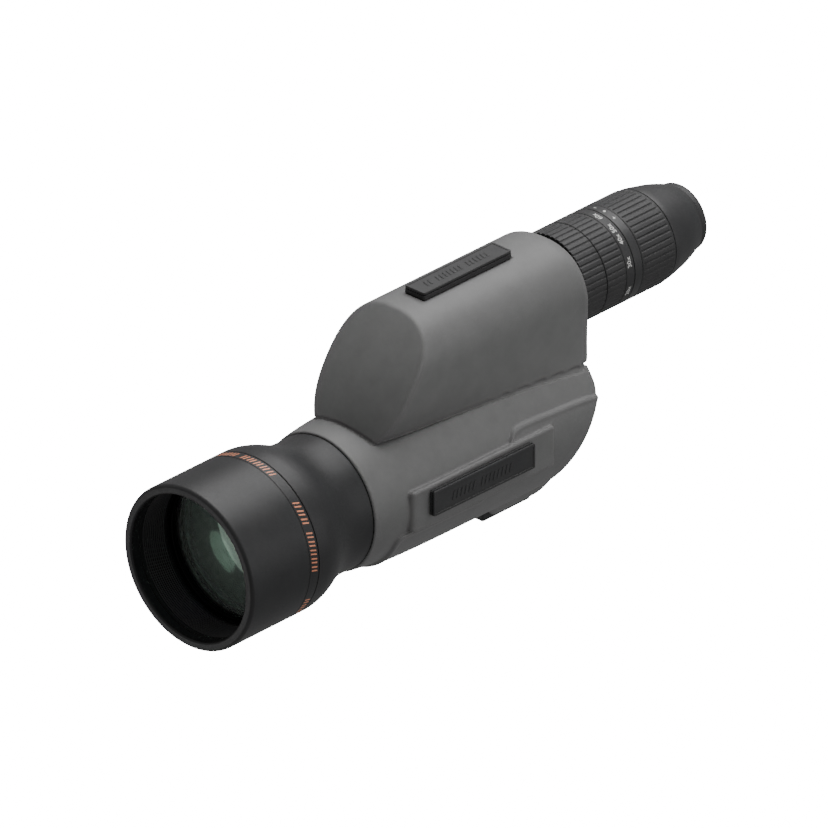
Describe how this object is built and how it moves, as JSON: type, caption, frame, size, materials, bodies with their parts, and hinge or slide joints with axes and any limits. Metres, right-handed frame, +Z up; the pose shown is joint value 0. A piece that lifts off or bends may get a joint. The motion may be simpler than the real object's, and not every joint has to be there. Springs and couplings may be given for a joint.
{
  "type": "spotting scope",
  "caption": "Zoom spotting scope with a folded light path, a sliding sunshade, a raised straight eyepiece with focus, zoom and diopter rings, an eyecup and a tripod foot.",
  "frame": {"origin": "centre of the tripod foot's bottom face, between the thread and the locating hole", "axes": "+Y along the optical axis from the objective to the eye, +Z up away from the tripod, +X to the scope's left, seen by the user"},
  "size_m": [0.1042, 0.4084, 0.1581],
  "materials": {
    "grey_armour": "matte grey armour moulded over the housing, very fine grain",
    "black_paint": "satin black paint with a fine orange peel",
    "black_anodised": "black anodised, fine turning marks",
    "black_rubber": "matte black rubber",
    "black_plastic": "fine textured black plastic",
    "bare_aluminium": "machined, satin",
    "brass": "machined brass",
    "steel": "zinc plated steel",
    "coated_glass": "polished glass with a green antireflection coating",
    "mirror_silver": "front-surface mirror coating"
  },
  "bodies": {
    "scope_body": {"main_housing": "grey_armour", "objective_barrel": "black_paint", "sunshade_friction_band": "black_rubber", "objective_cell": "black_anodised", "front_lens": "coated_glass", "lens_spacer": "black_anodised", "rear_lens": "coated_glass", "lens_seal": "black_rubber", "lens_retaining_ring": "black_anodised", "barrel_baffle": "black_anodised", "neck_seal": "black_rubber", "top_pad": "black_rubber", "left_pad": "black_rubber", "right_pad": "black_rubber", "tripod_foot": "black_paint", "thread_insert": "brass", "foot_screw_1": "steel", "foot_screw_2": "steel", "foot_screw_3": "steel", "foot_screw_4": "steel", "tail_mirror": "mirror_silver", "tail_mirror_carrier": "bare_aluminium", "tail_carrier_screw_1": "steel", "tail_carrier_screw_2": "steel", "tail_carrier_screw_3": "steel", "nose_mirror": "mirror_silver", "nose_mirror_carrier": "bare_aluminium", "nose_carrier_screw_1": "steel", "nose_carrier_screw_2": "steel", "eyepiece_tube": "black_anodised", "field_stop": "black_anodised", "erector_cell": "black_anodised", "erector_front_lens": "coated_glass", "erector_rear_lens": "coated_glass", "index_collar": "black_plastic"},
    "sunshade": {"sunshade": "black_paint"},
    "focus_ring": {"focus_ring": "black_rubber"},
    "focus_cell": {"focus_cell": "black_anodised", "focus_pin": "steel", "focus_lens": "coated_glass"},
    "zoom_ring": {"zoom_ring": "black_rubber"},
    "zoom_front_cell": {"zoom_front_cell": "black_anodised", "zoom_front_pin": "steel", "zoom_front_lens": "coated_glass"},
    "zoom_rear_cell": {"zoom_rear_cell": "black_anodised", "zoom_rear_pin": "steel", "zoom_rear_lens": "coated_glass"},
    "diopter_ring": {"diopter_ring": "black_rubber"},
    "eye_lens_cell": {"eye_lens_cell": "black_anodised", "eye_lens_pin": "steel", "eye_lens_lens": "coated_glass", "field_lens": "coated_glass", "eye_lens_spacer": "black_anodised"},
    "eyecup": {"eyecup_shell": "black_plastic", "eyecup_rubber": "black_rubber"}
  },
  "joints": [
    {"name": "sunshade_slide", "type": "slide", "parent": "scope_body", "child": "sunshade", "axis": [0, -1, 0], "range_m": [0, 0.03]},
    {"name": "focus_ring_turn", "type": "hinge", "parent": "scope_body", "child": "focus_ring", "pos_m": [0, 0.0617, 0.1205], "axis": [0, -1, 0], "range_deg": [-120, 120]},
    {"name": "focus_cell_slide", "type": "slide", "parent": "scope_body", "child": "focus_cell", "axis": [0, 1, 0], "range_m": [-0.00401, 0.00401]},
    {"name": "zoom_ring_turn", "type": "hinge", "parent": "scope_body", "child": "zoom_ring", "pos_m": [0, 0.082, 0.1205], "axis": [0, -1, 0], "range_deg": [0, 105]},
    {"name": "zoom_front_cell_slide", "type": "slide", "parent": "scope_body", "child": "zoom_front_cell", "axis": [0, 1, 0], "range_m": [0, 0.00501]},
    {"name": "zoom_rear_cell_slide", "type": "slide", "parent": "scope_body", "child": "zoom_rear_cell", "axis": [0, 1, 0], "range_m": [-0.00401, 0]},
    {"name": "diopter_ring_turn", "type": "hinge", "parent": "scope_body", "child": "diopter_ring", "pos_m": [0, 0.1144, 0.1205], "axis": [0, -1, 0], "range_deg": [-60, 60]},
    {"name": "eye_lens_cell_slide", "type": "slide", "parent": "scope_body", "child": "eye_lens_cell", "axis": [0, 1, 0], "range_m": [-0.00201, 0.00201]},
    {"name": "eyecup_slide", "type": "slide", "parent": "scope_body", "child": "eyecup", "axis": [0, 1, 0], "range_m": [0, 0.008]}
  ],
  "couplings": [
    {"joint": "focus_cell_slide", "follows": "focus_ring_turn", "m_per_rad": 0.0019099},
    {"joint": "zoom_front_cell_slide", "follows": "zoom_ring_turn", "m_per_rad": 0.0027284},
    {"joint": "zoom_rear_cell_slide", "follows": "zoom_ring_turn", "m_per_rad": -0.0021827},
    {"joint": "eye_lens_cell_slide", "follows": "diopter_ring_turn", "m_per_rad": 0.0019099}
  ]
}
